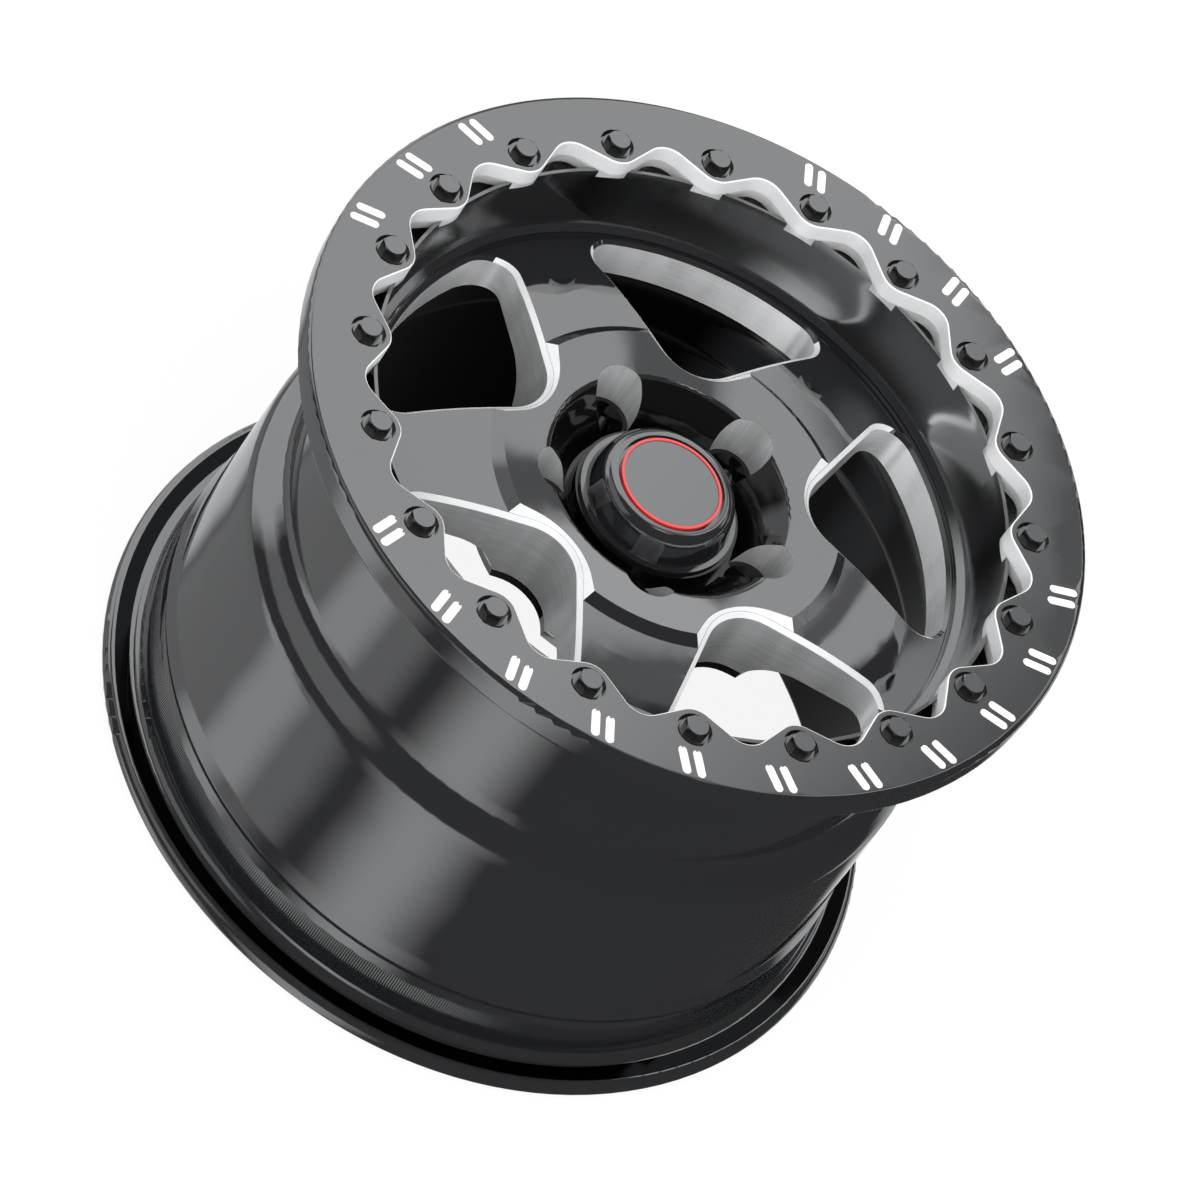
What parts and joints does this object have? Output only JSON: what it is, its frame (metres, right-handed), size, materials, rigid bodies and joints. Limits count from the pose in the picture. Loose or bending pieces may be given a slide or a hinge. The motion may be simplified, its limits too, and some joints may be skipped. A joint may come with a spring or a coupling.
{
  "type": "beadlock wheel",
  "caption": "Welded beadlock car wheel with an open spoked centre, a scalloped bolt-on clamping ring and a domed hub cap.",
  "frame": {"origin": "centre of the hub bore in the plane of the hub pad, where the wheel meets the car's hub", "axes": "+Z along the axle towards the front of the wheel; +X through the middle of one spoke"},
  "size_m": [0.4155, 0.4156, 0.278],
  "materials": {
    "gloss_black": "gloss black powder coat with bright machined edges",
    "ring_black": "gloss black powder coat with bright machined edges",
    "bolt_black": "black plated steel",
    "washer_black": "black plated steel",
    "cap_black": "gloss black",
    "trim_red": "gloss red",
    "badge_black": "gloss black, plain"
  },
  "bodies": {
    "root": {"wheel_body": "gloss_black", "beadlock_ring": "ring_black", "beadlock_bolts": "bolt_black", "beadlock_washers": "washer_black", "centre_cap": "cap_black", "cap_trim_ring": "trim_red", "cap_badge": "badge_black"}
  },
  "joints": []
}
